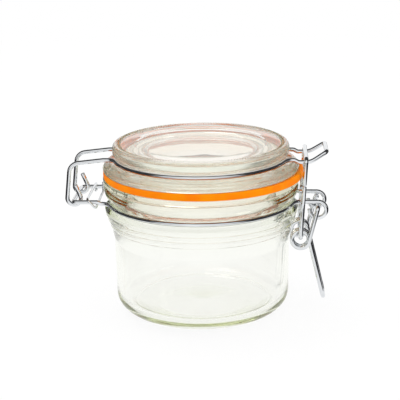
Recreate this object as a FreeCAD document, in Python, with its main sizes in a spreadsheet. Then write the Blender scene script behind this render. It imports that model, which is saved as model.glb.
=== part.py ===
import FreeCAD, Part
import math
import os
import Sketcher

# Clip-top preserving jar: a glass jar and lid with a rubber ring between them, held by bent steel wire.
# Millimetres. The origin is on the jar's axis where the foot ring stands, +Z is up,
# the hinge is on the -X side and the clasp on the +X side. The wires mirror about the XZ plane.

Vector = FreeCAD.Vector
doc = FreeCAD.newDocument("clip_top_jar")
sheet = doc.addObject("Spreadsheet::Sheet", "sizes")

DRIVING_SIZES = {
    # jar
    "body_radius": 41.6,
    "heel_radius": 12.0,
    "foot_width": 14.6,
    "push_up_depth": 1.2,
    "shoulder_rise": 9.0,
    "shoulder_flare": 4.0,
    "shoulder_band": 5.6,
    "neck_drop": 11.25,
    "neck_depth": 2.2,
    "collar_step": 2.2,
    "rim_step": 0.6,
    "rim_depth": 2.6,
    "rim_width": 11.2,
    "seat_height": 66.65,
    "lip_width": 1.4,
    "lip_height": 1.5,
    "mouth_depth": 9.5,
    "wall_thickness": 3.4,
    "floor_height": 5.0,
    "inner_heel_radius": 9.0,
    # rubber ring
    "seal_gap": 0.05,
    "seal_thickness": 3.2,
    "seal_overhang": 0.8,
    "seal_lip_gap": 1.3,
    "seal_shift": 1.0,
    # lid
    "lid_height": 12.3,
    "disc_inset": 4.6,
    "disc_thickness": 4.6,
    "flange_inset": 0.2,
    "flange_edge": 2.3,
    "flange_slope": 3.0,
    "groove_depth": 1.4,
    "groove_step": 1.2,
    "bead_width": 3.2,
    "dish_depth": 0.9,
    "centre_inset": 10.4,
    "centre_depth": 0.5,
    "plug_gap": 2.5,
    "plug_depth": 3.6,
    "plug_wall": 5.5,
    "hollow_depth": 4.6,
    # wire
    "wire_diameter": 2.0,
    "lever_wire_diameter": 2.2,
    "tie_wire_diameter": 1.15,
    "wire_bend": 4.0,
    "tight_bend": 1.6,
    "rest_gap": 0.1,
    "lid_wire_gap": 0.9,
    "side_gap": 0.3,
    # hinge
    "hinge_offset": 12.1,
    "hinge_rise": 0.8,
    "hinge_crank_run": 1.6,
    "lid_leg_half_gap": 10.3,
    "lid_leg_lean": 1.3,
    "lid_leg_corner_drop": 1.8,
    "lid_leg_bend": 5.0,
    "hinge_eye_radius": 3.2,
    "eye_return_inset": 0.8,
    "eye_return_rise": 7.6,
    "tie_offset": 5.9,
    "tie_spread": 3.8,
    "tie_hang": 1.0,
    "tie_bend": 1.5,
    "tie_end_height": 2.9,
    # clasp
    "nose_half_gap": 10.0,
    "nose_taper": 1.1,
    "nose_crank_run": 1.8,
    "saddle_offset": 0.9,
    "saddle_drop": 1.0,
    "saddle_run": 2.1,
    "saddle_bend": 8.0,
    "nose_run": 9.3,
    "nose_tip_rise": 3.6,
    "pivot_offset": 6.7,
    "hook_half_gap": 8.6,
    "hook_eye_radius": 3.9,
    "pivot_clearance": 0.1,
    "hook_end_rise": 0.5,
    "pin_end_half_gap": 6.5,
    "coil_stand_off": 0.1,
    "coil_drop": 16.0,
    "coil_radius": 3.9,
    "coil_turns": 2,
    "coil_gap": 0.3,
    "handle_flare": 11.4,
    "handle_splay": 1.0,
    "handle_end_height": 6.7,
    "link_joint_drop": 11.4,
    "link_joint_gap": 0.4,
    # small rounded edges
    "glass_edge": 0.6,
    "glass_round": 1.4,
    "shoulder_round": 5.0,
    "seal_edge": 0.5,
}


def fill_sheet():
    for row, (alias, number) in enumerate(DRIVING_SIZES.items(), start=1):
        sheet.set(f"A{row}", alias)
        sheet.set(f"B{row}", str(number))
        sheet.setAlias(f"B{row}", alias)
    doc.recompute()


fill_sheet()


def size(alias):
    return float(sheet.get(alias))


def value(expression):
    return float(sheet.evalExpression(expression))


# Radii and heights that several pieces share, as expressions on the sheet.
# The jar's radii follow its body, the ring's and the lid's follow its rim, and heights hang from the seat.
SHOULDER_RADIUS = "(sizes.body_radius + sizes.shoulder_flare)"
NECK_RADIUS = f"({SHOULDER_RADIUS} - sizes.neck_depth)"
COLLAR_RADIUS = f"({NECK_RADIUS} + sizes.collar_step)"
RIM_RADIUS = f"({COLLAR_RADIUS} + sizes.rim_step)"
MOUTH_RADIUS = f"({RIM_RADIUS} - sizes.rim_width)"
LIP_RADIUS = f"({MOUTH_RADIUS} + sizes.lip_width)"
SEAL_RADIUS = f"({RIM_RADIUS} + sizes.seal_overhang)"
FLANGE_RADIUS = f"({RIM_RADIUS} - sizes.flange_inset)"
DISC_RADIUS = f"({FLANGE_RADIUS} - sizes.disc_inset)"
GROOVE_RADIUS = f"({DISC_RADIUS} - sizes.groove_depth)"
NECK_WIRE_HEIGHT = "(sizes.seat_height - sizes.neck_drop)"
SEAL_BOTTOM = "(sizes.seat_height + sizes.seal_gap)"
FLANGE_BOTTOM = f"({SEAL_BOTTOM} + sizes.seal_thickness)"
LID_TOP = f"({FLANGE_BOTTOM} + sizes.lid_height)"
DISC_BOTTOM = f"({LID_TOP} - sizes.disc_thickness)"
LID_WIRE_HEIGHT = f"({DISC_BOTTOM} - sizes.lid_wire_gap - sizes.wire_diameter / 2)"


# Turned pieces: a closed outline of straight sides, revolved, then rounded at chosen corners.


def pin_corner(sketch, line, x_expression, z_expression):
    """Ties the start of a side to its radius and height."""
    for kind, expression, axis in (("DistanceX", x_expression, -2), ("DistanceY", z_expression, -1)):
        distance = value(expression)
        if abs(distance) < 1e-9:
            sketch.addConstraint(Sketcher.Constraint("PointOnObject", line, 1, axis))
            continue
        number = sketch.addConstraint(Sketcher.Constraint(kind, -1, 1, line, 1, distance))
        sketch.setExpression(f"Constraints[{number}]", expression)


def circle_edges(shape, corners):
    """Names of the revolved edges that lie at the given (radius, height) corners."""
    names = []
    for x_expression, z_expression in corners:
        radius, height = value(x_expression), value(z_expression)
        for number, edge in enumerate(shape.Edges, start=1):
            curve = edge.Curve
            if not isinstance(curve, Part.Circle):
                continue
            if abs(curve.Radius - radius) < 1e-4 and abs(curve.Center.z - height) < 1e-4:
                names.append(f"Edge{number}")
    return names


def turned_piece(label, outline):
    """A body of revolution about Z. Each corner is (radius, height, rounding alias or None)."""
    body = doc.addObject("PartDesign::Body", label)
    body.Label = label
    plane = next(f for f in body.Origin.OriginFeatures if f.Role == "XZ_Plane")
    sketch = body.newObject("Sketcher::SketchObject", f"{label}_outline")
    sketch.AttachmentSupport = (plane, [""])
    sketch.MapMode = "FlatFace"
    points = [Vector(value(x), value(z), 0) for x, z, _ in outline]
    count = len(points)
    for i in range(count):
        sketch.addGeometry(Part.LineSegment(points[i], points[(i + 1) % count]), False)
    for i in range(count):
        sketch.addConstraint(Sketcher.Constraint("Coincident", i, 2, (i + 1) % count, 1))
    for i, (x_expression, z_expression, _) in enumerate(outline):
        pin_corner(sketch, i, x_expression, z_expression)
    turn = body.newObject("PartDesign::Revolution", f"{label}_turn")
    turn.Profile = sketch
    turn.ReferenceAxis = (sketch, ["V_Axis"])
    turn.Angle = 360
    doc.recompute()
    last = turn
    for alias in dict.fromkeys(a for _, _, a in outline if a):
        corners = [(x, z) for x, z, a in outline if a == alias]
        rounding = body.newObject("PartDesign::Fillet", f"{label}_{alias}")
        rounding.Base = (last, circle_edges(last.Shape, corners))
        rounding.setExpression("Radius", f"sizes.{alias}")
        doc.recompute()
        last = rounding
    body.Tip = last
    return body


def make_jar_body():
    neck_low = f"({NECK_WIRE_HEIGHT} - sizes.wire_diameter / 2 - sizes.rest_gap)"
    neck_high = f"({NECK_WIRE_HEIGHT} + sizes.wire_diameter / 2 + sizes.rest_gap)"
    bead_top = f"({neck_low} - sizes.neck_depth)"
    shoulder_high = f"({bead_top} - sizes.shoulder_band)"
    shoulder_low = f"({shoulder_high} - sizes.shoulder_rise)"
    foot_inner = "(sizes.body_radius - sizes.foot_width)"
    rim_bottom = "(sizes.seat_height - sizes.rim_depth)"
    lip_top = "(sizes.seat_height + sizes.lip_height)"
    inner_radius = "(sizes.body_radius - sizes.wall_thickness)"
    mouth_low = "(sizes.seat_height - sizes.mouth_depth)"
    inner_shoulder = f"({mouth_low} - 2 * ({inner_radius} - {MOUTH_RADIUS}))"
    outline = [
        ("0", "sizes.push_up_depth", None),
        (f"{foot_inner} - sizes.push_up_depth", "sizes.push_up_depth", None),
        (foot_inner, "0", None),
        ("sizes.body_radius", "0", "heel_radius"),
        ("sizes.body_radius", shoulder_low, "shoulder_round"),
        (SHOULDER_RADIUS, shoulder_high, "shoulder_round"),
        (SHOULDER_RADIUS, bead_top, "glass_edge"),
        (NECK_RADIUS, neck_low, None),
        (NECK_RADIUS, neck_high, None),
        (COLLAR_RADIUS, f"{neck_high} + sizes.collar_step", "glass_edge"),
        (COLLAR_RADIUS, f"{rim_bottom} - sizes.rim_step", None),
        (RIM_RADIUS, rim_bottom, None),
        (RIM_RADIUS, "sizes.seat_height", "glass_edge"),
        (LIP_RADIUS, "sizes.seat_height", None),
        (LIP_RADIUS, lip_top, "glass_edge"),
        (MOUTH_RADIUS, lip_top, "glass_edge"),
        (MOUTH_RADIUS, mouth_low, "shoulder_round"),
        (inner_radius, inner_shoulder, "shoulder_round"),
        (inner_radius, "sizes.floor_height", "inner_heel_radius"),
        ("0", "sizes.floor_height", None),
    ]
    return turned_piece("jar_body", outline)


def make_glass_lid():
    plug_bottom = f"({FLANGE_BOTTOM} - sizes.plug_depth)"
    hollow_top = f"({FLANGE_BOTTOM} + sizes.hollow_depth)"
    groove_low = f"({LID_WIRE_HEIGHT} - sizes.wire_diameter / 2 - sizes.rest_gap)"
    groove_high = f"({LID_WIRE_HEIGHT} + sizes.wire_diameter / 2 + sizes.rest_gap)"
    flange_top = f"({groove_low} - sizes.groove_step)"
    plug_radius = f"({MOUTH_RADIUS} - sizes.plug_gap)"
    hollow_radius = f"({plug_radius} - sizes.plug_wall)"
    bead_inner = f"({DISC_RADIUS} - sizes.bead_width)"
    centre_radius = f"({DISC_RADIUS} - sizes.centre_inset)"
    dish_floor = f"({LID_TOP} - sizes.dish_depth)"
    centre_floor = f"({dish_floor} - sizes.centre_depth)"
    outline = [
        ("0", hollow_top, None),
        (hollow_radius, hollow_top, "glass_round"),
        (hollow_radius, plug_bottom, "glass_edge"),
        (plug_radius, plug_bottom, "glass_round"),
        (plug_radius, FLANGE_BOTTOM, None),
        (FLANGE_RADIUS, FLANGE_BOTTOM, "glass_edge"),
        (FLANGE_RADIUS, f"{FLANGE_BOTTOM} + sizes.flange_edge", "glass_round"),
        (f"{FLANGE_RADIUS} - sizes.flange_slope", flange_top, None),
        (GROOVE_RADIUS, groove_low, None),
        (GROOVE_RADIUS, groove_high, None),
        (DISC_RADIUS, DISC_BOTTOM, "glass_edge"),
        (DISC_RADIUS, LID_TOP, "glass_round"),
        (bead_inner, LID_TOP, "glass_edge"),
        (f"{bead_inner} - sizes.dish_depth", dish_floor, None),
        (centre_radius, dish_floor, None),
        (f"{centre_radius} - sizes.centre_depth", centre_floor, None),
        ("0", centre_floor, None),
    ]
    return turned_piece("glass_lid", outline)


def make_rubber_seal():
    inner_radius = f"({LIP_RADIUS} + sizes.seal_lip_gap)"
    outline = [
        (inner_radius, SEAL_BOTTOM, None),
        (SEAL_RADIUS, SEAL_BOTTOM, "seal_edge"),
        (SEAL_RADIUS, FLANGE_BOTTOM, "seal_edge"),
        (inner_radius, FLANGE_BOTTOM, None),
    ]
    return turned_piece("rubber_seal", outline)


# Wire pieces: a round section swept along straight runs joined by tangent arcs.


def rounded_run(corners):
    """Edges through (point, bend radius) corners, with a tangent arc at each inner corner."""
    edges = []
    start = corners[0][0]
    for (before, _), (corner, radius), (after, _) in zip(corners, corners[1:], corners[2:]):
        back = (before - corner).normalize()
        ahead = (after - corner).normalize()
        half_turn = (math.pi - back.getAngle(ahead)) / 2
        reach = radius * math.tan(half_turn)
        inward = (back + ahead).normalize()
        first, last = corner + back * reach, corner + ahead * reach
        middle = corner + inward * (radius / math.cos(half_turn) - radius)
        if (first - start).Length > 1e-6:
            edges.append(Part.LineSegment(start, first).toShape())
        edges.append(Part.Arc(first, middle, last).toShape())
        start = last
    edges.append(Part.LineSegment(start, corners[-1][0]).toShape())
    return edges


def ring_side(radius, bend, height, rear_half_gap, front_half_gap):
    """Near side of a wire ring about Z, with the bends that lead into its rear legs and front run.

    Returns the rear leg's end of the bend, the edges, and the front run's end of the bend.
    """

    def bend_centre(half_gap, side):
        across = half_gap + bend
        return Vector(side * math.sqrt((radius + bend) ** 2 - across**2), -across, height)

    axis = Vector(0, 0, height)

    def bend_arc(half_gap, side):
        centre = bend_centre(half_gap, side)
        straight = Vector(centre.x, -half_gap, height)
        on_ring = axis + (centre - axis) * (radius / (radius + bend))
        middle = centre + ((straight - centre) + (on_ring - centre)).normalize() * bend
        return straight, middle, on_ring

    rear_straight, rear_middle, rear_ring = bend_arc(rear_half_gap, -1)
    front_straight, front_middle, front_ring = bend_arc(front_half_gap, 1)
    edges = [
        Part.Arc(rear_straight, rear_middle, rear_ring).toShape(),
        Part.Arc(rear_ring, axis + Vector(0, -radius, 0), front_ring).toShape(),
        Part.Arc(front_ring, front_middle, front_straight).toShape(),
    ]
    return rear_straight, edges, front_straight


def tangent_angle(centre, radius, point, side):
    """Angle on a circle in the XZ plane of the tangent that passes through a point outside it."""
    dx, dz = point[0] - centre[0], point[1] - centre[1]
    return math.atan2(dz, dx) + side * math.acos(radius / math.hypot(dx, dz))


def on_circle(centre, radius, angle, across):
    return Vector(centre[0] + radius * math.cos(angle), across, centre[1] + radius * math.sin(angle))


def mirrored(edges):
    return [edge.mirror(Vector(0, 0, 0), Vector(0, 1, 0)) for edge in edges]


def swept_wire(label, edges, diameter_alias):
    """A node: a circle bound to the sheet, swept along the wire's centre line."""
    route = doc.addObject("Part::Feature", f"{label}_route")
    route.Shape = Part.Wire(Part.__sortEdges__(edges))
    first = route.Shape.OrderedEdges[0]
    start = first.firstVertex(True).Point
    along = first.tangentAt(first.FirstParameter)
    section = doc.addObject("Part::Circle", f"{label}_section")
    section.setExpression("Radius", f"sizes.{diameter_alias} / 2")
    section.Placement = FreeCAD.Placement(start, FreeCAD.Rotation(Vector(0, 0, 1), along))
    wire = doc.addObject("Part::Sweep", label)
    wire.Label = label
    wire.Sections = [section]
    wire.Spine = (route, [f"Edge{i + 1}" for i in range(len(route.Shape.Edges))])
    wire.Solid = True
    wire.Frenet = False
    doc.recompute()
    expected = math.pi * size(diameter_alias) ** 2 / 4 * route.Shape.Length
    print(f"{label}: volume {wire.Shape.Volume:.2f}, section times length {expected:.2f}")
    return wire


wire = size("wire_diameter")
lever_wire = size("lever_wire_diameter")
lid_wire_height = value(LID_WIRE_HEIGHT)
saddle_height = lid_wire_height - size("saddle_drop")
seal_radius = value(SEAL_RADIUS)
neck_wire_height = value(NECK_WIRE_HEIGHT)
neck_ring_radius = value(NECK_RADIUS) + size("rest_gap") + wire / 2
lid_ring_radius = value(GROOVE_RADIUS) + size("rest_gap") + wire / 2
hinge = (-(seal_radius + size("hinge_offset")), neck_wire_height + size("hinge_rise"))
pin_drop = lever_wire / 2 + size("pivot_clearance") + wire / 2
pivot = (seal_radius + size("seal_shift") + size("pivot_offset"), neck_wire_height - pin_drop)
coil_outer_radius = size("coil_radius") + lever_wire / 2
coil = (size("body_radius") + coil_outer_radius + size("coil_stand_off"), pivot[1] - size("coil_drop"))
saddle_reach = seal_radius + size("seal_shift") + size("saddle_offset")
arm_half_gap = size("hook_half_gap") + wire / 2 + size("side_gap") + lever_wire / 2
coil_pitch = lever_wire + size("coil_gap")
coil_half_gap = arm_half_gap - size("coil_turns") * coil_pitch
handle_half_gap = coil_half_gap + size("handle_splay")
link_half_gap = arm_half_gap + lever_wire / 2 + size("side_gap") + wire / 2
neck_leg_half_gap = size("lid_leg_half_gap") + wire / 2 + size("side_gap") + size("tight_bend")


def make_neck_wire():
    """Ring in the jar's neck, a bar across the raised rear legs for the hinge, and an eye at each front end."""
    height = neck_wire_height
    hook_half_gap = size("hook_half_gap")
    eye = size("hook_eye_radius")
    bend = size("tight_bend")
    rear, ring, front = ring_side(neck_ring_radius, size("wire_bend"), height, neck_leg_half_gap, hook_half_gap)
    crank_low = rear - Vector(bend / 2, 0, 0)
    bar_to_ring = rounded_run([
        (Vector(hinge[0], 0, hinge[1]), 0),
        (Vector(hinge[0], -neck_leg_half_gap, hinge[1]), bend),
        (crank_low + Vector(-size("hinge_crank_run"), 0, size("hinge_rise")), bend),
        (crank_low, bend),
        (rear, 0),
    ])
    ring_to_hook = rounded_run([
        (front, 0),
        (Vector(pivot[0] + eye, -hook_half_gap, height), eye),
        (Vector(pivot[0] + eye, -hook_half_gap, height - 2 * eye), eye),
        (Vector(pivot[0] - eye, -hook_half_gap, height - 2 * eye), eye),
        (Vector(pivot[0] - eye, -hook_half_gap, height - eye + size("hook_end_rise")), 0),
    ])
    near = bar_to_ring + ring + ring_to_hook
    return swept_wire("neck_wire", near + mirrored(near), "wire_diameter")


def make_hinge_tie():
    """Thin wire looped over and under both rear legs of the neck wire, hanging a little on the near side."""
    offset = wire / 2 + size("tie_wire_diameter") / 2 + size("rest_gap") / 2
    height = hinge[1]
    under, over = height - offset, height + offset
    outside, inside = neck_leg_half_gap + offset, neck_leg_half_gap - offset
    middle = -(neck_ring_radius + size("tie_offset"))
    front, rear = middle + size("tie_spread") / 2, middle - size("tie_spread") / 2
    bend = size("tie_bend")
    route = rounded_run([
        (Vector(front, inside, height + size("tie_end_height")), 0),
        (Vector(front, inside, under), bend),
        (Vector(front, -outside, under - size("tie_hang")), bend),
        (Vector(rear, -outside, over), bend),
        (Vector(rear, outside, over), bend),
        (Vector(rear, outside, under), bend),
        (Vector(rear, inside, under), 0),
    ])
    return swept_wire("hinge_tie", route, "tie_wire_diameter")


def make_lid_wire():
    """Ring under the lid's disc, with a nose at the front and two legs to the hinge eyes at the rear."""
    height = lid_wire_height
    half_gap = size("lid_leg_half_gap")
    nose_half_gap = size("nose_half_gap")
    rear, ring, front = ring_side(lid_ring_radius, size("wire_bend"), height, half_gap, nose_half_gap)
    crank_high = front + Vector(size("tight_bend") / 2, 0, 0)
    tip_height = height + size("nose_tip_rise")
    tip_reach = saddle_reach + size("nose_run")
    nose = rounded_run([
        (front, 0),
        (crank_high, size("tight_bend")),
        (crank_high + Vector(size("nose_crank_run"), 0, -size("saddle_drop")), size("tight_bend")),
        (Vector(saddle_reach + size("saddle_run"), -nose_half_gap, saddle_height), size("saddle_bend")),
        (Vector(tip_reach, size("nose_taper") - nose_half_gap, tip_height), size("tight_bend")),
        (Vector(tip_reach, 0, tip_height), 0),
    ])
    radius_of_eye = size("hinge_eye_radius")
    eye = (hinge[0], hinge[1] + radius_of_eye - wire - size("rest_gap"))
    corner = (hinge[0] - size("lid_leg_lean"), height - size("lid_leg_corner_drop"))
    end = (hinge[0] + size("eye_return_inset"), hinge[1] + size("eye_return_rise"))
    arrive = on_circle(eye, radius_of_eye, tangent_angle(eye, radius_of_eye, corner, 1), -half_gap)
    leave = on_circle(eye, radius_of_eye, tangent_angle(eye, radius_of_eye, end, -1), -half_gap)
    bottom = Vector(eye[0], -half_gap, eye[1] - radius_of_eye)
    leg = rounded_run([
        (rear, 0),
        (rear + Vector(-size("wire_bend") / 2, 0, 0), size("wire_bend")),
        (Vector(corner[0], -half_gap, corner[1]), size("lid_leg_bend")),
        (arrive, 0),
    ])
    teardrop = [
        Part.Arc(arrive, bottom, leave).toShape(),
        Part.LineSegment(leave, Vector(end[0], -half_gap, end[1])).toShape(),
    ]
    near = nose + ring + leg + teardrop
    return swept_wire("lid_wire", near + mirrored(near), "wire_diameter")


SIDES_PER_TURN = 8


def make_lever():
    """One wire: a pin in each hook, an arm, a coil, and a handle that joins the two sides."""
    radius = size("coil_radius")
    turns = round(size("coil_turns"))
    sides = SIDES_PER_TURN * turns
    end = (coil[0] + size("handle_flare"), size("handle_end_height"))
    arm_angle = tangent_angle(coil, radius, pivot, -1)
    handle_angle = tangent_angle(coil, radius, end, 1) - 2 * math.pi * turns
    side_turn = (handle_angle - arm_angle) / sides
    corner_radius = radius / math.cos(side_turn / 2)
    corners = []
    for i in range(sides):
        across = -arm_half_gap + (arm_half_gap - coil_half_gap) * i / (sides - 1)
        angle = arm_angle + side_turn * (i + 0.5)
        corners.append((on_circle(coil, corner_radius, angle, across), radius - size("coil_gap")))
    near = rounded_run([
        (Vector(pivot[0], -size("pin_end_half_gap"), pivot[1]), 0),
        (Vector(pivot[0], -arm_half_gap, pivot[1]), size("tight_bend")),
        *corners,
        (Vector(end[0], -handle_half_gap, end[1]), size("wire_bend")),
        (Vector(end[0], 0, end[1]), 0),
    ])
    return swept_wire("lever", near + mirrored(near), "lever_wire_diameter")


def make_closing_link():
    """Loop of wire from the lever's coils over the lid wire's nose, butted together in its near leg."""
    top = (saddle_reach, saddle_height + wire + size("rest_gap"))
    hole_top = size("coil_radius") - lever_wire / 2 - wire / 2 - size("rest_gap")
    bottom = (coil[0], coil[1] + hole_top)
    joint = lid_wire_height - size("link_joint_drop")
    half_joint = size("link_joint_gap") / 2
    slope = (top[0] - bottom[0]) / (top[1] - bottom[1])

    def on_near_leg(height):
        return Vector(bottom[0] + slope * (height - bottom[1]), -link_half_gap, height)

    bend = size("tight_bend")
    route = rounded_run([
        (on_near_leg(joint + half_joint), 0),
        (Vector(top[0], -link_half_gap, top[1]), bend),
        (Vector(top[0], link_half_gap, top[1]), bend),
        (Vector(bottom[0], link_half_gap, bottom[1]), bend),
        (Vector(bottom[0], -link_half_gap, bottom[1]), bend),
        (on_near_leg(joint - half_joint), 0),
    ])
    print(f"link pivot {bottom}, link top bar {top}")
    return swept_wire("closing_link", route, "wire_diameter")


def check_document(pieces):
    doc.recompute()
    for item in doc.Objects:
        if "Invalid" in item.State or "Error" in item.State:
            raise RuntimeError(f"{item.Label} failed: {item.State}")
    for piece in pieces:
        shape = piece.Shape
        if shape.isNull() or not shape.isValid() or len(shape.Solids) != 1 or shape.Volume <= 0:
            raise RuntimeError(f"{piece.Label} is not one valid solid")


def main():
    seal = make_rubber_seal()
    pieces = [
        make_jar_body(),
        make_glass_lid(),
        seal,
        make_neck_wire(),
        make_hinge_tie(),
        make_lid_wire(),
        make_lever(),
        make_closing_link(),
    ]
    for piece in pieces:
        piece.Placement = FreeCAD.Placement()
    seal.setExpression("Placement.Base.x", "sizes.seal_shift")
    check_document(pieces)
    os.makedirs("parts", exist_ok=True)
    for piece in pieces:
        piece.Shape.exportStep(os.path.join("parts", f"{piece.Label}.step"))
        box = piece.Shape.BoundBox
        print(piece.Label, [round(n, 2) for n in (box.XMin, box.YMin, box.ZMin, box.XMax, box.YMax, box.ZMax)])


main()
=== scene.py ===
import math

import bmesh
import bpy
from bpy.props import FloatProperty, FloatVectorProperty, IntProperty, PointerProperty
from mathutils import Matrix, Vector


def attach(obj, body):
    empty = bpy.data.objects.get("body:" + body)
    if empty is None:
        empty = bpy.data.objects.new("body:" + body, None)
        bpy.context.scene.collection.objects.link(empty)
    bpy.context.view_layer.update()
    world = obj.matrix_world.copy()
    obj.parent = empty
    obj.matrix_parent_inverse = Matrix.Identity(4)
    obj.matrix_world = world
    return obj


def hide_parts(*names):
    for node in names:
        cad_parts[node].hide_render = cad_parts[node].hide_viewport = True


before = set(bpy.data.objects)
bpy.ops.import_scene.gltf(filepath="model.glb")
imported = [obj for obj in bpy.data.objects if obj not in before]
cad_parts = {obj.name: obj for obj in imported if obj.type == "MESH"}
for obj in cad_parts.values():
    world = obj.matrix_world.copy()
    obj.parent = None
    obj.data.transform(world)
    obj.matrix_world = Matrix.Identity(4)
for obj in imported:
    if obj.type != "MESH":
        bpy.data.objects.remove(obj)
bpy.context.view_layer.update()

bl_info = {
    "name": "Clip-top glass jar",
    "version": (1, 0, 0),
    "blender": (4, 5, 0),
    "location": "View3D > Sidebar > Glass jar",
    "description": "Turned glass jar and lid, rubber ring and wire clasp, with finishes and a white sweep",
    "category": "Object",
}

MM = 0.001

# Outlines of the turned pieces in millimetres: (radius, height, rounding). The glass outlines go from the
# axis underneath round to the axis on top, and the ring's outline is closed.
JAR_OUTLINE = [
    (0, 0.9, 0), (21, 0, 25), (30, 0.7, 30), (37.6, 3.0, 9), (41.35, 6.9, 7), (41.75, 37.2, 8),
    (43.2, 43.6, 0.5), (43.55, 44.0, 0.3), (43.6, 44.8, 0.3),
    (44.3, 46.7, 0.4), (44.65, 47.0, 0.3), (44.7, 47.8, 0.3),
    (45.25, 49.5, 0.4), (45.5, 49.8, 0.3), (45.7, 51.0, 0.8),
    (45.7, 52.0, 0.5), (43.4, 54.3, 0.4), (43.4, 56.5, 0.4),
    (45.3, 58.5, 0.6), (45.8, 60.2, 0.8), (45.8, 61.6, 0.8), (45.2, 63.0, 0.4), (45.4, 63.6, 0.3),
    (46.2, 64.3, 0.5), (46.2, 66.65, 0.7),
    (36.4, 66.65, 0.3), (36.4, 68.15, 0.6), (35, 68.15, 0.6), (35, 57.15, 5), (38.2, 50.75, 5),
    (38.2, 5.7, 5.4), (32.2, 5.7, 0.4), (31.4, 5, 0.4), (0, 5, 0),
]
LID_OUTLINE = [
    (0, 71.8, 0), (28.6, 71.8, 4.5), (28.6, 66.3, 2.0), (33.4, 66.3, 2.0), (33.4, 69.9, 0.5),
    (46, 69.9, 0.6), (46.1, 71.2, 0.5), (45.5, 71.7, 0.3), (45.2, 72.5, 0.5), (43.6, 73.2, 0.4),
    (42.8, 74.0, 0.4), (40, 74.6, 0.3), (40, 76.8, 0.3),
    (41.4, 77.6, 1.0), (41.4, 82.2, 2.1), (38.4, 82.2, 0.9), (37.2, 81.7, 0.9),
    (31, 81.5, 0.6), (30.2, 81.2, 0.6), (0, 80.9, 0),
]
SEAL_OUTLINE = [
    (37.7, 66.72, 0.3), (47, 66.72, 0.5), (47, 68.1, 0.1), (47.06, 68.3, 0.05), (47, 68.5, 0.1),
    (47, 69.84, 0.5), (37.7, 69.84, 0.3),
]
SEAL_SHIFT = 1.0  # towards the clasp


# Sizes and colours that a user would change.


class JarGlassSettings(bpy.types.PropertyGroup):
    segments: IntProperty(name="Segments", description="Steps round jar and ring", default=288, min=48)
    round_steps: IntProperty(
        name="Rounding steps", description="Steps in each rounded corner", default=6, min=2,
    )
    waver: FloatProperty(
        name="Wall waver", description="How far the inner wall wanders from round", default=0.00016,
        subtype="DISTANCE", unit="LENGTH",
    )
    lid_segments: IntProperty(name="Lid segments", description="Steps round the lid", default=720, min=48)
    stipple_count: IntProperty(name="Stipples", description="Moulded dots round the lid's rim", default=180)
    stipple_height: FloatProperty(
        name="Stipple height", description="Height of the moulded dots", default=0.00045,
        subtype="DISTANCE", unit="LENGTH",
    )
    tint: FloatVectorProperty(
        name="Glass tint", description="Colour of light after a long way through the glass", size=3,
        subtype="COLOR", default=(0.85, 0.875, 0.72), min=0, max=1,
    )
    tint_density: FloatProperty(
        name="Jar tint density", description="How fast the jar's glass takes colour", default=40,
    )
    lid_density: FloatProperty(
        name="Lid tint density", description="How fast the lid's glass takes colour", default=10,
    )


class RubberRingSettings(bpy.types.PropertyGroup):
    colour: FloatVectorProperty(
        name="Rubber colour", description="Colour of the rubber ring", size=3, subtype="COLOR",
        default=(0.945, 0.245, 0.001), min=0, max=1,
    )


class WireSettings(bpy.types.PropertyGroup):
    diameter: FloatProperty(
        name="Wire diameter", description="Neck, lid and link wire", default=0.0020,
        subtype="DISTANCE", unit="LENGTH",
    )
    lever_diameter: FloatProperty(
        name="Lever wire diameter", description="Lever wire", default=0.0022,
        subtype="DISTANCE", unit="LENGTH",
    )
    tie_diameter: FloatProperty(
        name="Tie wire diameter", description="Thin wire round the hinge legs", default=0.00115,
        subtype="DISTANCE", unit="LENGTH",
    )
    sides: IntProperty(name="Sides", description="Sides of the wire's section", default=20, min=8)
    colour: FloatVectorProperty(
        name="Zinc colour", description="Colour of the plated wire", size=3, subtype="COLOR",
        default=(0.80, 0.82, 0.84), min=0, max=1,
    )


class StageSettings(bpy.types.PropertyGroup):
    azimuth: FloatProperty(
        name="Azimuth", description="Camera, round the jar", default=math.radians(3.51), subtype="ANGLE",
    )
    elevation: FloatProperty(
        name="Elevation", description="Camera, above the table", default=math.radians(16.54),
        subtype="ANGLE",
    )
    roll: FloatProperty(
        name="Roll", description="Camera tilt", default=math.radians(-0.865), subtype="ANGLE",
    )
    distance: FloatProperty(
        name="Distance", description="Camera to the jar's middle", default=0.5199,
        subtype="DISTANCE", unit="LENGTH",
    )
    lens: FloatProperty(name="Lens", description="Focal length in millimetres", default=98.55)


SETTINGS = {
    "jar_glass": JarGlassSettings, "jar_rubber": RubberRingSettings,
    "jar_wire": WireSettings, "jar_stage": StageSettings,
}


# Node building.


class Value:
    """A number socket that can stand in Python arithmetic; each operation adds a Math node."""

    def __init__(self, tree, socket):
        self.tree, self.socket = tree, socket

    def math(self, operation, *others):
        made = self.tree.add("ShaderNodeMath", {"operation": operation}, {
            i: other for i, other in enumerate((self, *others))
        })
        return Value(self.tree, made.outputs[0])

    def reflected(self, operation, other):
        made = self.tree.add("ShaderNodeMath", {"operation": operation}, {0: other, 1: self})
        return Value(self.tree, made.outputs[0])

    def __add__(self, other):
        return self.math("ADD", other)

    __radd__ = __add__

    def __sub__(self, other):
        return self.math("SUBTRACT", other)

    def __rsub__(self, other):
        return self.reflected("SUBTRACT", other)

    def __mul__(self, other):
        return self.math("MULTIPLY", other)

    __rmul__ = __mul__

    def __truediv__(self, other):
        return self.math("DIVIDE", other)

    def __rtruediv__(self, other):
        return self.reflected("DIVIDE", other)

    def ramp(self, low, high):
        """0 below low, 1 above high, and smooth between."""
        made = self.tree.add("ShaderNodeMapRange", {"interpolation_type": "SMOOTHSTEP"}, {
            "Value": self, "From Min": low, "From Max": high,
        })
        return Value(self.tree, made.outputs["Result"])


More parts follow.
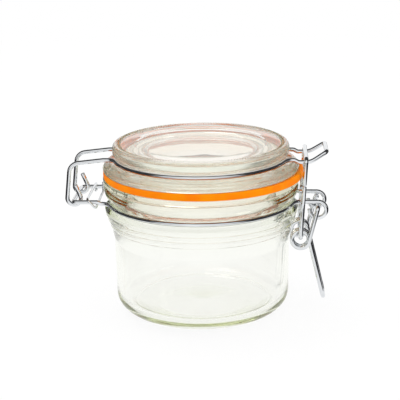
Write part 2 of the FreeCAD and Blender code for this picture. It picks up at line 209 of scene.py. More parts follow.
class NodeSheet:
    """A node tree being drawn: add() makes a node with its settings and then its sockets."""

    def __init__(self, tree):
        self.tree = tree

    def add(self, kind, settings=None, sockets=None):
        node = self.tree.nodes.new(kind)
        for name, setting in (settings or {}).items():
            setattr(node, name, setting)
        for name, given in (sockets or {}).items():
            socket = node.inputs[name]
            source = given.socket if isinstance(given, Value) else given
            if isinstance(source, bpy.types.NodeSocket):
                self.tree.links.new(source, socket)
            else:
                socket.default_value = source
        return node

    def value(self, node, output=0):
        return Value(self, node.outputs[output])


def parts_of(sheet, vector):
    """A vector's X, Y and Z as values."""
    split = sheet.add("ShaderNodeSeparateXYZ", None, {0: vector})
    return [sheet.value(split, axis) for axis in "XYZ"]


def new_finish(name):
    """An empty material with its sheet and its output node."""
    finish = bpy.data.materials.new(name)
    finish.use_nodes = True
    finish.node_tree.nodes.clear()
    sheet = NodeSheet(finish.node_tree)
    return finish, sheet, sheet.add("ShaderNodeOutputMaterial")


# Finishes. Noise scales are counted per metre.

WHITE = (1, 1, 1)
FIRST_COLOUR, SECOND_COLOUR, MIXED_COLOUR = 6, 7, 2  # a Mix node's sockets for colours

GLASS_IOR = 1.51
FLOW_SCALE, FINE_SCALE, FINE_SHARE = 55, 420, 0.04
FLOW_STRENGTH, FLOW_DEPTH = 0.035, 0.0012
SMEAR_SCALE, SMEAR_EDGE, SMEAR_ROUGHNESS = 90, (0.52, 0.8), 0.03

MOTTLE_SCALE, MOTTLE_EDGE, MOTTLE_DARK, MOTTLE_LIGHT = 160, (0.3, 0.7), 0.86, 1.12
GRAIN_SCALE, GRAIN_STRENGTH, GRAIN_DEPTH = 2200, 0.25, 0.0001
RUBBER_ROUGHNESS, MOTTLE_ROUGHNESS, RUBBER_SPECULAR = 0.42, 0.2, 0.05

CLOUD_SCALE, CLOUD_EDGE, CLOUD_DARK = 140, (0.35, 0.7), 0.92
PIT_SCALE, PIT_STRENGTH, PIT_DEPTH = 1500, 0.05, 0.00008
ZINC_ROUGHNESS, DULL_EDGE, DULL_ROUGHNESS = 0.05, (0.4, 0.8), 0.08


def noise(sheet, place, scale, detail):
    node = sheet.add("ShaderNodeTexNoise", None, {"Vector": place, "Scale": scale, "Detail": detail})
    return sheet.value(node, "Fac")


def mixed(sheet, share, first, second):
    """A colour from first to second, by share."""
    node = sheet.add("ShaderNodeMix", {"data_type": "RGBA"}, {
        "Factor": share, FIRST_COLOUR: (*first, 1), SECOND_COLOUR: (*second, 1),
    })
    return node.outputs[MIXED_COLOUR]


def glass_finish(name, tint, density, painted_rubber_glow, reach, soft):
    """Pressed soda-lime glass: clear, faintly green where it is thick, with a slightly uneven surface.

    Orange light from the rubber ring is painted on the glass beside it, a painted reflection: the argument
    after density is that colour, and reach gives its share.
    The moulded edges are less polished: soft gives the roughness to add. Both go by radius and height.
    """
    finish, sheet, output = new_finish(name)
    place = sheet.add("ShaderNodeTexCoord").outputs["Object"]
    x, y, z = parts_of(sheet, place)
    radius = (x * x + y * y).math("SQRT")
    # Painted reflection: the rubber ring's orange light, mixed into the glass's colour where reach says.
    tone = mixed(sheet, reach(radius, z), WHITE, painted_rubber_glow)
    flow = noise(sheet, place, FLOW_SCALE, 1.0)
    fine = noise(sheet, place, FINE_SCALE, 2.0)
    bump = sheet.add("ShaderNodeBump", None, {
        "Strength": FLOW_STRENGTH, "Distance": FLOW_DEPTH, "Height": flow + fine * FINE_SHARE,
    })
    smears = noise(sheet, place, SMEAR_SCALE, 3.0).ramp(*SMEAR_EDGE)
    shader = sheet.add("ShaderNodeBsdfPrincipled", None, {
        "Base Color": tone, "Roughness": smears * SMEAR_ROUGHNESS + soft(radius, z), "IOR": GLASS_IOR,
        "Transmission Weight": 1.0, "Normal": bump.outputs[0],
    })
    inside = sheet.add("ShaderNodeVolumeAbsorption", None, {"Color": (*tint, 1), "Density": density})
    sheet.tree.links.new(shader.outputs[0], output.inputs["Surface"])
    sheet.tree.links.new(inside.outputs[0], output.inputs["Volume"])
    return finish


def rubber_finish(colour):
    """Orange rubber with faint mottling, a matt skin and fine moulding grain."""
    finish, sheet, output = new_finish("orange_rubber")
    place = sheet.add("ShaderNodeTexCoord").outputs["Object"]
    mottle = noise(sheet, place, MOTTLE_SCALE, 3.0)
    grain = noise(sheet, place, GRAIN_SCALE, 2.0)
    red, green, blue = colour
    dark, light = (red, green * MOTTLE_DARK, blue), (red, green * MOTTLE_LIGHT, blue)
    tone = mixed(sheet, mottle.ramp(*MOTTLE_EDGE), dark, light)
    bump = sheet.add("ShaderNodeBump", None, {
        "Strength": GRAIN_STRENGTH, "Distance": GRAIN_DEPTH, "Height": grain,
    })
    shader = sheet.add("ShaderNodeBsdfPrincipled", None, {
        "Base Color": tone, "Roughness": RUBBER_ROUGHNESS + mottle * MOTTLE_ROUGHNESS,
        "Normal": bump.outputs[0], "Specular IOR Level": RUBBER_SPECULAR,
    })
    sheet.tree.links.new(shader.outputs[0], output.inputs["Surface"])
    return finish


def zinc_finish(colour):
    """Bright zinc plate on drawn wire: mirror-like, with cloudy patches and fine pitting."""
    finish, sheet, output = new_finish("bright_zinc")
    place = sheet.add("ShaderNodeTexCoord").outputs["Object"]
    cloud = noise(sheet, place, CLOUD_SCALE, 3.0)
    pits = noise(sheet, place, PIT_SCALE, 2.0)
    tone = mixed(sheet, cloud.ramp(*CLOUD_EDGE), [c * CLOUD_DARK for c in colour], colour)
    bump = sheet.add("ShaderNodeBump", None, {
        "Strength": PIT_STRENGTH, "Distance": PIT_DEPTH, "Height": pits + cloud,
    })
    shader = sheet.add("ShaderNodeBsdfPrincipled", None, {
        "Base Color": tone, "Metallic": 1.0,
        "Roughness": ZINC_ROUGHNESS + cloud.ramp(*DULL_EDGE) * DULL_ROUGHNESS, "Normal": bump.outputs[0],
    })
    sheet.tree.links.new(shader.outputs[0], output.inputs["Surface"])
    return finish


# Geometry Nodes: one tree turns an outline, the other bends a wire along its centre line.

STIPPLE_EDGE = (-0.2, 0.9)
WAVER_SCALE, WAVER_RISE = 1.6, 9
MERGE_DISTANCE = 2e-6
SHARP_ANGLE = math.radians(38)


def new_tree(name, inputs):
    """A Geometry Nodes tree with named inputs and one geometry output."""
    tree = bpy.data.node_groups.new(name, "GeometryNodeTree")
    tree.interface.new_socket("Geometry", in_out="INPUT", socket_type="NodeSocketGeometry")
    for label, kind in inputs:
        tree.interface.new_socket(label, in_out="INPUT", socket_type=f"NodeSocket{kind}")
    tree.interface.new_socket("Geometry", in_out="OUTPUT", socket_type="NodeSocketGeometry")
    sheet = NodeSheet(tree)
    return sheet, sheet.add("NodeGroupInput")


def close_tree(sheet, geometry, material):
    """Ends a tree in Realize Instances and Set Material."""
    whole = sheet.add("GeometryNodeRealizeInstances", None, {"Geometry": geometry})
    painted = sheet.add("GeometryNodeSetMaterial", None, {
        "Geometry": whole.outputs[0], "Material": material,
    })
    sheet.add("NodeGroupOutput", None, {0: painted.outputs[0]})


def turning_tree():
    """Turns an outline's points about Z, with stipples all round and a wall that wavers in and out."""
    sheet, given = new_tree("turn_outline", [
        ("Segments", "Int"), ("Stipple Count", "Int"), ("Waver", "Float"), ("Waver Scale", "Float"),
        ("Material", "Material"),
    ])
    outline, segments = given.outputs["Geometry"], sheet.value(given, "Segments")
    size = sheet.add("GeometryNodeAttributeDomainSize", None, {"Geometry": outline})
    points = sheet.value(size, "Point Count")
    grid = sheet.add("GeometryNodeMeshGrid", None, {"Vertices X": segments + 1, "Vertices Y": points})
    index = sheet.value(sheet.add("GeometryNodeInputIndex"))
    step = (index / points).math("FLOOR")
    row = index - step * points
    angle = step * math.tau / segments

    def from_outline(kind, source):
        node = sheet.add("GeometryNodeSampleIndex", {"data_type": kind, "domain": "POINT"}, {
            "Geometry": outline, "Value": source, "Index": row,
        })
        return node.outputs["Value"]

    def stored(name):
        node = sheet.add("GeometryNodeInputNamedAttribute", {"data_type": "FLOAT"}, {"Name": name})
        return Value(sheet, from_outline("FLOAT", node.outputs["Attribute"]))

    position = sheet.add("GeometryNodeInputPosition").outputs[0]
    plain_radius, _, plain_height = parts_of(sheet, from_outline("FLOAT_VECTOR", position))
    dots = (angle * sheet.value(given, "Stipple Count")).math("COSINE").ramp(*STIPPLE_EDGE)
    around = sheet.add("ShaderNodeCombineXYZ", None, {
        0: angle.math("COSINE"), 1: angle.math("SINE"), 2: plain_height * WAVER_RISE,
    })
    swell = sheet.add("ShaderNodeTexNoise", None, {
        "Vector": around.outputs[0], "Scale": sheet.value(given, "Waver Scale"), "Detail": 1.0,
    })
    drift = (sheet.value(swell, "Fac") - 0.5) * 2 * stored("waver") * sheet.value(given, "Waver")
    radius = plain_radius + drift
    height = plain_height + stored("stipple") * dots
    place = sheet.add("ShaderNodeCombineXYZ", None, {
        0: radius * angle.math("COSINE"), 1: radius * angle.math("SINE"), 2: height,
    })
    turned = sheet.add("GeometryNodeSetPosition", None, {
        "Geometry": grid.outputs["Mesh"], "Position": place.outputs[0],
    })
    closed = sheet.add("GeometryNodeMergeByDistance", None, {
        "Geometry": turned.outputs[0], "Distance": MERGE_DISTANCE,
    })
    close_tree(sheet, closed.outputs[0], given.outputs["Material"])


def wire_tree():
    """Draws a round wire along a centre line, thinned at its ends by the taper attribute."""
    sheet, given = new_tree("bend_wire", [
        ("Diameter", "Float"), ("Sides", "Int"), ("Material", "Material"),
    ])
    line = sheet.add("GeometryNodeMeshToCurve", None, {"Mesh": given.outputs["Geometry"]})
    taper = sheet.add("GeometryNodeInputNamedAttribute", {"data_type": "FLOAT"}, {"Name": "taper"})
    section = sheet.add("GeometryNodeCurvePrimitiveCircle", {"mode": "RADIUS"}, {
        "Resolution": given.outputs["Sides"], "Radius": sheet.value(given, "Diameter") * 0.5,
    })
    drawn = sheet.add("GeometryNodeCurveToMesh", None, {
        "Curve": line.outputs[0], "Profile Curve": section.outputs["Curve"],
        "Scale": taper.outputs["Attribute"], "Fill Caps": True,
    })
    close_tree(sheet, drawn.outputs[0], given.outputs["Material"])


def grown_mesh(name, seed, tree, inputs):
    """Runs a tree on a seed mesh and returns the result as a plain mesh with its faces outwards."""
    holder = bpy.data.objects.new(f"{name}_seed", seed)
    bpy.context.scene.collection.objects.link(holder)
    modifier = holder.modifiers.new("grow", "NODES")
    modifier.node_group = tree
    for item in tree.interface.items_tree:
        if item.in_out == "INPUT" and item.name in inputs:
            modifier[item.identifier] = inputs[item.name]
    shown = holder.evaluated_get(bpy.context.evaluated_depsgraph_get())
    mesh = bpy.data.meshes.new_from_object(shown)
    holder.modifiers.remove(modifier)
    bpy.data.objects.remove(holder)
    bpy.data.meshes.remove(seed)
    mesh.name = name
    shape = bmesh.new()
    shape.from_mesh(mesh)
    bmesh.ops.recalc_face_normals(shape, faces=shape.faces)
    if shape.calc_volume(signed=True) < 0:
        bmesh.ops.reverse_faces(shape, faces=shape.faces)
    if any(not edge.is_manifold for edge in shape.edges):
        raise RuntimeError(f"{name} is not closed")
    shape.to_mesh(mesh)
    shape.free()
    mesh.shade_smooth()
    mesh.set_sharp_from_angle(angle=SHARP_ANGLE)
    return mesh


def add_piece(name, mesh, body, node):
    """Puts a finished mesh in the scene in place of its CAD node."""
    piece = bpy.data.objects.new(name, mesh)
    bpy.context.scene.collection.objects.link(piece)
    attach(piece, body)
    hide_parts(node)


# Turned pieces. The zones below are in metres: pairs give where a change begins and ends.

LARGE_ROUNDING, LARGE_ROUNDING_STEPS = 4, 4
LONGEST_STRETCH, LONGEST_JAR_STRETCH = 0.004, 0.003

# Painted reflection: the rubber ring's orange light on the jar's collar, and the heights over which it
# comes in.
JAR_RUBBER_GLOW, JAR_RUBBER_GLOW_HEIGHTS = (0.985, 0.935, 0.885), (0.0575, 0.0625)
COLLAR_HEIGHTS, COLLAR_ROUGHNESS = (0.054, 0.056), 0.04
# Radii and heights between which the jar's inner and outer wall wander, and by what share.
WAVER_ZONES = (
    ((0.03, 0.0385), (0.012, 0.052), 1.0),
    ((0.041, 0.05), (0.012, 0.038), 0.35),
)

# Painted reflection: the rubber ring's orange light on the lid's disc and flange, kept off the outer rim by
# radius and height.
LID_RUBBER_GLOW, DISC_RADII, FLANGE_HEIGHTS = (1, 0.942, 0.9), (0.037, 0.041), (0.0725, 0.0735)
RIM_RADII, RIM_ROUGHNESS = (0.0395, 0.0405), 0.13
STIPPLE_RADIUS, STIPPLE_HALF_WIDTH, STIPPLE_FLOOR = 0.0385, 0.0006, 0.0815


def rounded_outline(corners, steps, closed):
    """Outline points in metres, with an arc at each corner that has a rounding."""
    points = []
    count = len(corners)
    for i, (radius, height, rounding) in enumerate(corners):
        here = Vector((radius, height))
        if not rounding or (not closed and i in (0, count - 1)):
            points.append(here)
            continue
        back = Vector(corners[i - 1][:2]) - here
        ahead = Vector(corners[(i + 1) % count][:2]) - here
        half_turn = (math.pi - back.angle(ahead)) / 2
        reach = rounding * math.tan(half_turn)
        back.normalize()
        ahead.normalize()
        centre = here + (back + ahead).normalized() * (rounding / math.cos(half_turn))
        start, end = here + back * reach - centre, here + ahead * reach - centre
        turn = start.angle_signed(end)
        extra = LARGE_ROUNDING_STEPS if rounding > LARGE_ROUNDING else 0
        arc_steps = max(2, round(steps * abs(turn) / (math.pi / 2)) + extra)
        for k in range(arc_steps + 1):
            points.append(centre + Matrix.Rotation(-turn * k / arc_steps, 2) @ start)
    return [(p.x * MM, p.y * MM) for p in points]


def fill_in(points, longest):
    """Adds points so that no stretch of the outline is longer than longest."""
    filled = [points[0]]
    for (r0, z0), (r1, z1) in zip(points, points[1:]):
        parts = max(1, math.ceil(math.hypot(r1 - r0, z1 - z0) / longest))
        filled += [(r0 + (r1 - r0) * k / parts, z0 + (z1 - z0) * k / parts) for k in range(1, parts + 1)]
    return filled


def turned_mesh(
    name, outline, finish, sizes, segments, closed=False, waver=None, stipple=None, longest=LONGEST_STRETCH,
):
    """A turned mesh. waver and stipple give a point's wander and dot height from its radius and height."""
    points = rounded_outline(outline, sizes.round_steps, closed)
    if closed:
        points.append(points[0])
    points = fill_in(points, longest)
    seed = bpy.data.meshes.new(f"{name}_outline")
    seed.from_pydata([(r, 0, z) for r, z in points], [(i, i + 1) for i in range(len(points) - 1)], [])
    for label, amount in (("waver", waver), ("stipple", stipple)):
        stored = seed.attributes.new(label, "FLOAT", "POINT")
        for i, (r, z) in enumerate(points):
            stored.data[i].value = amount(r, z) if amount else 0
    return grown_mesh(name, seed, bpy.data.node_groups["turn_outline"], {
        "Segments": segments, "Stipple Count": sizes.stipple_count, "Waver": sizes.waver,
        "Waver Scale": WAVER_SCALE, "Material": finish,
    })


class JAR_OT_body(bpy.types.Operator):
    """Turn the glass jar"""

    bl_idname = "glass_jar.body"
    bl_label = "Jar"

    def execute(self, context):
        sizes = context.scene.jar_glass

        # Painted reflection of the rubber ring's orange light, rising over the collar's top.
        def painted_collar_rubber_glow(radius, height):
            return height.ramp(*JAR_RUBBER_GLOW_HEIGHTS)

        def soft_collar(radius, height):
            return height.ramp(*COLLAR_HEIGHTS) * COLLAR_ROUGHNESS

        def waver(radius, height):
            for (inner, outer), (low, high), share in WAVER_ZONES:
                if inner < radius < outer and low < height < high:
                    return share
            return 0

        finish = glass_finish(
            "jar_glass", sizes.tint, sizes.tint_density, JAR_RUBBER_GLOW, painted_collar_rubber_glow, soft_collar,
        )
        mesh = turned_mesh(
            "jar_glass", JAR_OUTLINE, finish, sizes, sizes.segments,
            waver=waver, longest=LONGEST_JAR_STRETCH,
        )
        add_piece("jar_glass", mesh, "jar", "jar_body")
        return {"FINISHED"}


class JAR_OT_lid(bpy.types.Operator):
    """Turn the glass lid with its stippled rim"""

    bl_idname = "glass_jar.lid"
    bl_label = "Lid"

    def execute(self, context):
        sizes = context.scene.jar_glass

        # Painted reflection of the rubber ring's orange light: everywhere but the outer rim.
        def painted_disc_and_flange_rubber_glow(radius, height):
            return 1 - radius.ramp(*DISC_RADII) * height.ramp(*FLANGE_HEIGHTS)

        def soft_rim(radius, height):
            return radius.ramp(*RIM_RADII) * RIM_ROUGHNESS

        def stipple(radius, height):
            if height < STIPPLE_FLOOR:
                return 0
            return sizes.stipple_height * max(0, 1 - ((radius - STIPPLE_RADIUS) / STIPPLE_HALF_WIDTH) ** 2)

        finish = glass_finish(
            "lid_glass", sizes.tint, sizes.lid_density, LID_RUBBER_GLOW, painted_disc_and_flange_rubber_glow, soft_rim,
        )
        mesh = turned_mesh("lid_glass", LID_OUTLINE, finish, sizes, sizes.lid_segments, stipple=stipple)
        add_piece("lid_glass", mesh, "lid", "glass_lid")
        return {"FINISHED"}


class JAR_OT_seal(bpy.types.Operator):
    """Turn the rubber ring"""

    bl_idname = "glass_jar.seal"
    bl_label = "Rubber ring"

    def execute(self, context):
        finish = rubber_finish(context.scene.jar_rubber.colour)
        sizes = context.scene.jar_glass
        mesh = turned_mesh("rubber_ring", SEAL_OUTLINE, finish, sizes, sizes.segments, closed=True)
        mesh.transform(Matrix.Translation((SEAL_SHIFT * MM, 0, 0)))
        add_piece("rubber_ring", mesh, "lid", "rubber_seal")
        return {"FINISHED"}


# Bent wires. Centre lines are in millimetres, as runs joined by tangent bends. Pairs are (x, z) points.

WIRE_BEND, TIGHT_BEND, BEND_STEP = 4.0, 1.6, math.radians(9)
HINGE, PIVOT, COIL = (-59.1, 56.2), (54.7, 53.2), (46.7, 37.2)

# Half gaps: how far each run lies from the middle plane.
NECK_LEG, LID_LEG, NOSE, NOSE_TIP, HOOK = 13.2, 10.3, 10.0, 8.9, 8.6
PIN_END, ARM, COIL_END, HANDLE, LINK = 6.5, 11.0, 6.0, 7.0, 13.4

NECK_RING_HEIGHT, NECK_RING_RADIUS, NECK_CRANK = 55.4, 44.5, 1.6
HOOK_RADIUS, HOOK_TAIL = 3.9, 0.5
TIE_OFFSET, TIE_BEND, TIE_TAIL, TIE_SAG = 1.625, 1.5, 2.9, 1.0
TIE_FRONT, TIE_REAR = -48.5, -52.3

LID_RING_HEIGHT, LID_RING_RADIUS = 75.7, 41.1
NOSE_LENGTH, NOSE_RISE, NOSE_DIP, NOSE_DIP_DEPTH = 58.2, 3.6, 51.0, 1.0
NOSE_BEND, NOSE_CRANK = 8.0, 1.8
LID_LEG_CORNER, LID_LEG_BEND = (-60.4, 73.9), 5.0
EYE_RADIUS, EYE_DROP, EYE_TAIL = 3.2, 2.1, (-58.3, 63.8)

COIL_RADIUS, COIL_TURNS, COIL_SIDES, COIL_BEND = 3.9, 2, 8, 3.8
HANDLE_FOOT = (58.1, 6.7)
LINK_FOOT, LINK_TOP, LINK_BUTT = (46.7, 38.9), (48.9, 76.8), (64.1, 64.5)

# Cut ends: the eased length in diameters, and the width at the cut and part of the way along.
EASE, EASE_MIDDLE, CUT_WIDTH, MIDDLE_WIDTH = 0.14, 0.35, 0.72, 0.9
CLOSEST_POINTS = 1e-4


def arc(centre, start, end):
    """Points from start to end on the shorter way round a centre."""
    a, b = start - centre, end - centre
    turn = a.angle(b)
    steps = max(2, math.ceil(turn / BEND_STEP))
    axis = a.cross(b).normalized()
    return [centre + Matrix.Rotation(turn * k / steps, 3, axis) @ a for k in range(steps + 1)]


def run(corners):
    """Points through (point, bend radius) corners, with a tangent arc at each inner corner."""
    points = [corners[0][0]]
    for (before, _), (corner, radius), (after, _) in zip(corners, corners[1:], corners[2:]):
        back, ahead = (before - corner).normalized(), (after - corner).normalized()
        half_turn = (math.pi - back.angle(ahead)) / 2
        reach = radius * math.tan(half_turn)
        centre = corner + (back + ahead).normalized() * (radius / math.cos(half_turn))
        points += arc(centre, corner + back * reach, corner + ahead * reach)
    return points + [corners[-1][0]]


def ring_side(radius, height, rear_gap, front_gap):
    """Near side of a wire ring with the bends into its rear legs and front run."""
    axis = Vector((0, 0, height))

    def bend(gap, side):
        across = gap + WIRE_BEND
        centre = Vector((side * math.sqrt((radius + WIRE_BEND) ** 2 - across**2), -across, height))
        on_ring = axis + (centre - axis) * (radius / (radius + WIRE_BEND))
        return centre, Vector((centre.x, -gap, height)), on_ring

    rear_centre, rear, rear_ring = bend(rear_gap, -1)
    front_centre, front, front_ring = bend(front_gap, 1)
    middle = axis + Vector((0, -radius, 0))
    return [
        *arc(rear_centre, rear, rear_ring), *arc(axis, rear_ring, middle),
        *arc(axis, middle, front_ring), *arc(front_centre, front_ring, front),
    ]


def tangent_angle(centre, radius, point, side):
    """The angle at which a line from point touches a circle, on one side or the other."""
    dx, dz = point[0] - centre[0], point[1] - centre[1]
    return math.atan2(dz, dx) + side * math.acos(radius / math.hypot(dx, dz))


def at(point, across):
    """An (x, z) point at a place across the jar."""
    return Vector((point[0], across, point[1]))


def on_circle(centre, radius, angle, across):
    return at((centre[0] + radius * math.cos(angle), centre[1] + radius * math.sin(angle)), across)


def both_sides(near):
    """A near half that ends on the middle plane, carried on to the far side."""
    return near + [Vector((p.x, -p.y, p.z)) for p in reversed(near)]


def neck_wire_line():
    height = NECK_RING_HEIGHT
    ring = ring_side(NECK_RING_RADIUS, height, NECK_LEG, HOOK)
    front, rear, foot = PIVOT[0] + HOOK_RADIUS, PIVOT[0] - HOOK_RADIUS, height - 2 * HOOK_RADIUS
    hook = run([
        (ring[-1], 0), (at((front, height), -HOOK), HOOK_RADIUS), (at((front, foot), -HOOK), HOOK_RADIUS),
        (at((rear, foot), -HOOK), HOOK_RADIUS), (at((rear, height - HOOK_RADIUS + HOOK_TAIL), -HOOK), 0),
    ])
    crank = ring[0] - Vector((TIGHT_BEND / 2, 0, 0))
    bar = run([
        (ring[0], 0), (crank, TIGHT_BEND),
        (crank + Vector((-NECK_CRANK, 0, HINGE[1] - height)), TIGHT_BEND),
        (at(HINGE, -NECK_LEG), TIGHT_BEND), (at(HINGE, 0), 0),
    ])
    return both_sides(hook[::-1] + ring[::-1] + bar)


def hinge_tie_line():
    outside, inside = NECK_LEG + TIE_OFFSET, NECK_LEG - TIE_OFFSET
    under, over = HINGE[1] - TIE_OFFSET, HINGE[1] + TIE_OFFSET
    corners = [
        (TIE_FRONT, inside, HINGE[1] + TIE_TAIL), (TIE_FRONT, inside, under),
        (TIE_FRONT, -outside, under - TIE_SAG), (TIE_REAR, -outside, over),
        (TIE_REAR, outside, over), (TIE_REAR, outside, under), (TIE_REAR, inside, under),
    ]
    return run([(Vector(corner), TIE_BEND) for corner in corners])


def lid_wire_line():
    height = LID_RING_HEIGHT
    ring = ring_side(LID_RING_RADIUS, height, LID_LEG, NOSE)
    crank = ring[-1] + Vector((TIGHT_BEND / 2, 0, 0))
    tip = (NOSE_LENGTH, height + NOSE_RISE)
    nose = run([
        (at(tip, 0), 0), (at(tip, -NOSE_TIP), TIGHT_BEND),
        (at((NOSE_DIP, height - NOSE_DIP_DEPTH), -NOSE), NOSE_BEND),
        (crank + Vector((NOSE_CRANK, 0, -NOSE_DIP_DEPTH)), TIGHT_BEND), (crank, TIGHT_BEND), (ring[-1], 0),
    ])
    eye = (HINGE[0], HINGE[1] + EYE_RADIUS - EYE_DROP)
    first = tangent_angle(eye, EYE_RADIUS, LID_LEG_CORNER, 1)
    last = tangent_angle(eye, EYE_RADIUS, EYE_TAIL, -1)
    while last < first:
        last += math.tau
    steps = math.ceil((last - first) / BEND_STEP)
    turn = (last - first) / steps
    teardrop = [on_circle(eye, EYE_RADIUS, first + turn * k, -LID_LEG) for k in range(steps + 1)]
    leg = run([
        (ring[0], 0), (ring[0] + Vector((-WIRE_BEND / 2, 0, 0)), WIRE_BEND),
        (at(LID_LEG_CORNER, -LID_LEG), LID_LEG_BEND), (teardrop[0], 0),
    ])
    near = nose + ring[::-1] + leg + teardrop + [at(EYE_TAIL, -LID_LEG)]
    return both_sides(near[::-1])


def lever_line():
    """Pins, arms, coils and handle. Each coil is a many-sided screw with a bend at every corner."""
    sides = COIL_SIDES * COIL_TURNS
    first = tangent_angle(COIL, COIL_RADIUS, PIVOT, -1)
    last = tangent_angle(COIL, COIL_RADIUS, HANDLE_FOOT, 1) - COIL_TURNS * math.tau
    turn = (last - first) / sides
    corner_radius = COIL_RADIUS / math.cos(turn / 2)
    pitch = (ARM - COIL_END) / (sides - 1)
    coil = [
        (on_circle(COIL, corner_radius, first + turn * (i + 0.5), -ARM + pitch * i), COIL_BEND)
        for i in range(sides)
    ]
    return both_sides(run([
        (at(PIVOT, -PIN_END), 0), (at(PIVOT, -ARM), TIGHT_BEND), *coil,
        (at(HANDLE_FOOT, -HANDLE), WIRE_BEND), (at(HANDLE_FOOT, 0), 0),
    ]))


def link_line():
    """A closed loop that is butted together in its near leg."""
    slope = (LINK_TOP[0] - LINK_FOOT[0]) / (LINK_TOP[1] - LINK_FOOT[1])
    lower_end, upper_end = (
        at((LINK_FOOT[0] + slope * (height - LINK_FOOT[1]), height), -LINK) for height in LINK_BUTT
    )
    corners = (at(LINK_TOP, -LINK), at(LINK_TOP, LINK), at(LINK_FOOT, LINK), at(LINK_FOOT, -LINK))
    return run([(point, TIGHT_BEND) for point in (upper_end, *corners, lower_end)])


def wire_mesh(name, line, diameter, sides, finish):
    """A wire along a centre line, with its cut ends eased."""
    spaced = [line[0]]
    for point in line[1:]:
        if (point - spaced[-1]).length > CLOSEST_POINTS:
            spaced.append(point)
    ease = diameter / MM * EASE
    first = (spaced[1] - spaced[0]).normalized() * ease
    last = (spaced[-2] - spaced[-1]).normalized() * ease
    points = [
        spaced[0], spaced[0] + first * EASE_MIDDLE, spaced[0] + first, *spaced[1:-1],
        spaced[-1] + last, spaced[-1] + last * EASE_MIDDLE, spaced[-1],
    ]
    tapers = [CUT_WIDTH, MIDDLE_WIDTH] + [1.0] * len(spaced) + [MIDDLE_WIDTH, CUT_WIDTH]
    seed = bpy.data.meshes.new(f"{name}_line")
    seed.from_pydata([p * MM for p in points], [(i, i + 1) for i in range(len(points) - 1)], [])
    taper = seed.attributes.new("taper", "FLOAT", "POINT")
    for i, amount in enumerate(tapers):
        taper.data[i].value = amount
    return grown_mesh(name, seed, bpy.data.node_groups["bend_wire"], {
        "Diameter": diameter, "Sides": sides, "Material": finish,
    })


class JAR_OT_wires(bpy.types.Operator):
    """Bend the neck wire, hinge tie, lid wire, lever and closing link"""

    bl_idname = "glass_jar.wires"
    bl_label = "Wires"

    def execute(self, context):
        sizes = context.scene.jar_wire
        finish = zinc_finish(sizes.colour)
        for name, line, diameter, body, node in (
            ("neck_band", neck_wire_line(), sizes.diameter, "jar", "neck_wire"),
            ("hinge_binding", hinge_tie_line(), sizes.tie_diameter, "jar", "hinge_tie"),
            ("lid_band", lid_wire_line(), sizes.diameter, "lid", "lid_wire"),
            ("clasp_lever", lever_line(), sizes.lever_diameter, "lever", "lever"),
            ("clasp_link", link_line(), sizes.diameter, "link", "closing_link"),
        ):
            add_piece(name, wire_mesh(name, line, diameter, sizes.sides, finish), body, node)
        return {"FINISHED"}


# Stage: a white sweep in a white room, with soft lamps and the camera. Only mirrored and bent light
# sees what is dark: a table beside the sweep, a ring round the backdrop and a card on either side.

SWEEP_RADIUS, SWEEP_SEGMENTS, SWEEP_DROP = 0.9, 96, 0.00005
PAPER, PAPER_SHARE = (0.95, 0.95, 0.95), 0.08
TABLE, TABLE_REACH, TABLE_BENT_SHARE = (0.02, 0.02, 0.022), (0.09, 0.15), 0.06
# Parts of a direction, from -1 to 1, between which the ring and the cards begin and end.
RING_BEGINS, RING_ENDS, RING_DARKNESS = (-0.72, -0.45), (0.86, 0.93), 0.95
CARD_INNER, CARD_OUTER = (0.35, 0.5), (0.9, 0.97)
CARD_FOOT, CARD_TOP, CARD_DARKNESS = (0, 0.08), (0.6, 0.8), 0.65
# Name, place, diameter and power of each lamp.
LAMPS = (("overhead", (-0.25, 0.1, 0.75), 0.45, 1.7), ("side", (0.7, -0.35, 0.5), 0.35, 0.9))
LAMP_TARGET, CAMERA_TARGET = Vector((0, 0, 0.05)), Vector((0, 0, 0.055))
PHOTO_WIDTH, PHOTO_SHIFT = 400, (-1.5, -3.1)
BOUNCES = 48


def light_kinds(sheet):
    """Shares of mirrored and of bent light. Bent light counts as glossy too, so it is taken out there."""
    path = sheet.add("ShaderNodeLightPath")
    bent = sheet.value(path, "Is Transmission Ray")
    return sheet.value(path, "Is Glossy Ray") * (1 - bent), bent


def sweep_finish():
    """White paper with a light shadow. Far out, wire mirrors a dark table and glass bends in a trace."""
    finish, sheet, output = new_finish("white_sweep")
    mirrored, bent = light_kinds(sheet)
    across, _, _ = parts_of(sheet, sheet.add("ShaderNodeTexCoord").outputs["Object"])
    far = across.math("ABSOLUTE").ramp(*TABLE_REACH)
    glow = sheet.add("ShaderNodeEmission", None, {"Color": (*WHITE, 1), "Strength": 1.0})
    paper = sheet.add("ShaderNodeBsdfDiffuse", None, {"Color": (*PAPER, 1)})
    table = sheet.add("ShaderNodeBsdfDiffuse", None, {"Color": (*TABLE, 1)})
    white = sheet.add("ShaderNodeMixShader", None, {
        0: PAPER_SHARE, 1: glow.outputs[0], 2: paper.outputs[0],
    })
    both = sheet.add("ShaderNodeMixShader", None, {
        0: (mirrored + bent * TABLE_BENT_SHARE) * far, 1: white.outputs[0], 2: table.outputs[0],
    })
    sheet.tree.links.new(both.outputs[0], output.inputs["Surface"])
    return finish


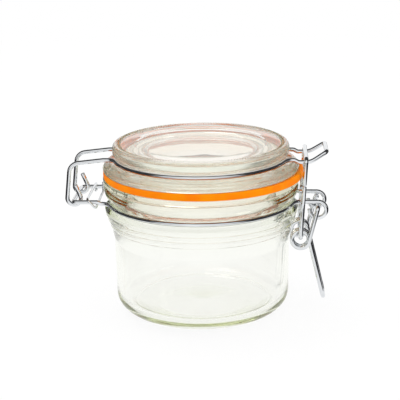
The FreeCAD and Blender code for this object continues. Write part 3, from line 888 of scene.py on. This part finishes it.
def light_room(scene):
    """White light from all round. Wire mirrors a dark ring, and glass bends in dark cards at the sides."""
    world = bpy.data.worlds.new("white_room")
    scene.world = world
    world.use_nodes = True
    world.node_tree.nodes.clear()
    sheet = NodeSheet(world.node_tree)
    mirrored, bent = light_kinds(sheet)
    across, back, up = parts_of(sheet, sheet.add("ShaderNodeTexCoord").outputs["Generated"])
    aside = across.math("ABSOLUTE")
    cards = aside.ramp(*CARD_INNER) * (1 - aside.ramp(*CARD_OUTER))
    cards = cards * up.ramp(*CARD_FOOT) * (1 - up.ramp(*CARD_TOP))
    ring = back.ramp(*RING_BEGINS) * (1 - back.ramp(*RING_ENDS))
    level = 1 - ring * mirrored * RING_DARKNESS - cards * bent * CARD_DARKNESS
    sky = sheet.add("ShaderNodeBackground", None, {"Color": (*WHITE, 1), "Strength": level})
    sheet.add("ShaderNodeOutputWorld", None, {"Surface": sky.outputs[0]})


def add_lamp(scene, name, place, size, power):
    """A round lamp that lights the jar but isn't mirrored in its wires."""
    lamp = bpy.data.lights.new(name, "AREA")
    lamp.shape, lamp.size, lamp.energy = "DISK", size, power
    holder = bpy.data.objects.new(name, lamp)
    holder.location = place
    holder.rotation_euler = (LAMP_TARGET - Vector(place)).to_track_quat("-Z", "Y").to_euler()
    holder.visible_glossy = False
    scene.collection.objects.link(holder)


def lay_sweep(scene):
    """The white floor, just under the jar's foot."""
    shape = bmesh.new()
    bmesh.ops.create_circle(shape, cap_ends=True, segments=SWEEP_SEGMENTS, radius=SWEEP_RADIUS)
    mesh = bpy.data.meshes.new("sweep")
    shape.to_mesh(mesh)
    shape.free()
    mesh.materials.append(sweep_finish())
    sweep = bpy.data.objects.new("sweep", mesh)
    sweep.location.z = -SWEEP_DROP
    scene.collection.objects.link(sweep)


def aim_camera(scene, sizes):
    """The camera round, above and rolled as its settings say, looking at the jar's middle."""
    az, el, roll = sizes.azimuth, sizes.elevation, sizes.roll
    ahead = Vector((-math.sin(az) * math.cos(el), math.cos(az) * math.cos(el), -math.sin(el)))
    right = Vector((math.cos(az), math.sin(az), 0))
    up = right.cross(ahead)
    across = right * math.cos(roll) + up * math.sin(roll)
    upright = up * math.cos(roll) - right * math.sin(roll)
    camera = bpy.data.cameras.new("camera")
    camera.lens = sizes.lens
    camera.shift_x, camera.shift_y = (pixels / PHOTO_WIDTH for pixels in PHOTO_SHIFT)
    holder = bpy.data.objects.new("camera", camera)
    turned = Matrix((across, upright, -ahead)).transposed().to_4x4()
    holder.matrix_world = Matrix.Translation(CAMERA_TARGET - ahead * sizes.distance) @ turned
    scene.collection.objects.link(holder)
    scene.camera = holder


class JAR_OT_stage(bpy.types.Operator):
    """Set the table, the light and the camera"""

    bl_idname = "glass_jar.stage"
    bl_label = "Stage"

    def execute(self, context):
        scene = context.scene
        lay_sweep(scene)
        light_room(scene)
        for lamp in LAMPS:
            add_lamp(scene, *lamp)
        aim_camera(scene, scene.jar_stage)
        scene.view_settings.view_transform = "Standard"
        scene.cycles.max_bounces = BOUNCES
        scene.cycles.transmission_bounces = BOUNCES
        scene.cycles.glossy_bounces = BOUNCES
        return {"FINISHED"}


OPERATORS = (JAR_OT_body, JAR_OT_lid, JAR_OT_seal, JAR_OT_wires, JAR_OT_stage)


class JAR_PT_panel(bpy.types.Panel):
    """Sizes, colours and steps of the jar"""

    bl_idname = "JAR_PT_panel"
    bl_label = "Clip-top jar"
    bl_space_type = "VIEW_3D"
    bl_region_type = "UI"
    bl_category = "Glass jar"

    def draw(self, context):
        for pointer in SETTINGS:
            box = self.layout.box()
            group = getattr(context.scene, pointer)
            for name in group.__annotations__:
                box.prop(group, name)
        for operator in OPERATORS:
            self.layout.operator(operator.bl_idname)


CLASSES = (*SETTINGS.values(), *OPERATORS, JAR_PT_panel)


def register():
    for item in CLASSES:
        bpy.utils.register_class(item)
    for pointer, group in SETTINGS.items():
        setattr(bpy.types.Scene, pointer, PointerProperty(type=group))


def unregister():
    for pointer in SETTINGS:
        delattr(bpy.types.Scene, pointer)
    for item in reversed(CLASSES):
        bpy.utils.unregister_class(item)


def main():
    register()
    turning_tree()
    wire_tree()
    bpy.ops.glass_jar.body()
    bpy.ops.glass_jar.lid()
    bpy.ops.glass_jar.seal()
    bpy.ops.glass_jar.wires()
    bpy.ops.glass_jar.stage()


if __name__ == "__main__":
    main()
